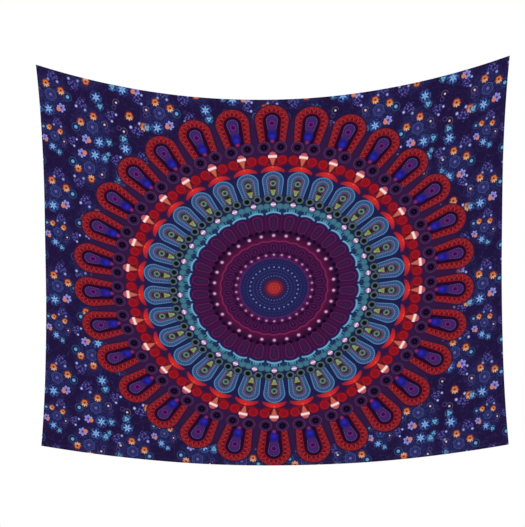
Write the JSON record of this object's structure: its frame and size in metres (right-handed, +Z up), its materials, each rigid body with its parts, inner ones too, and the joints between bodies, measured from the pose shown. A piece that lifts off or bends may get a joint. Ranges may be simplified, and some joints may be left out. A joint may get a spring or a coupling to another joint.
{
  "type": "tapestry wall hanging",
  "caption": "Thin printed cloth held to a wall at its corners, with sagging top and bottom edges and sewn hems, to decorate a wall.",
  "frame": {"origin": "on the wall plane, midway between the cloth's two top corners", "axes": "+X to the right as the print is seen, +Y into the wall, +Z up"},
  "size_m": [1.472, 0.0277, 1.273],
  "materials": {
    "printed_cloth": "plain-woven polyester, printed on the front",
    "hem_cloth": "plain-woven polyester, turned so that its unprinted side shows",
    "thread": "twisted polyester sewing thread",
    "label_tape": "blank satin tape",
    "pin_plastic": "moulded, glossy",
    "pin_steel": "drawn bright steel"
  },
  "bodies": {
    "root": {"cloth_panel": "printed_cloth", "hem_top": "hem_cloth", "hem_bottom": "hem_cloth", "hem_left": "hem_cloth", "hem_right": "hem_cloth", "needle_thread_top": "thread", "needle_thread_bottom": "thread", "needle_thread_left": "thread", "needle_thread_right": "thread", "bobbin_thread_top": "thread", "bobbin_thread_bottom": "thread", "bobbin_thread_left": "thread", "bobbin_thread_right": "thread", "care_label": "label_tape", "label_thread": "thread", "pin_head_top_left": "pin_plastic", "pin_head_top_right": "pin_plastic", "pin_head_bottom_left": "pin_plastic", "pin_head_bottom_right": "pin_plastic", "pin_needle_top_left": "pin_steel", "pin_needle_top_right": "pin_steel", "pin_needle_bottom_left": "pin_steel", "pin_needle_bottom_right": "pin_steel"}
  },
  "joints": []
}
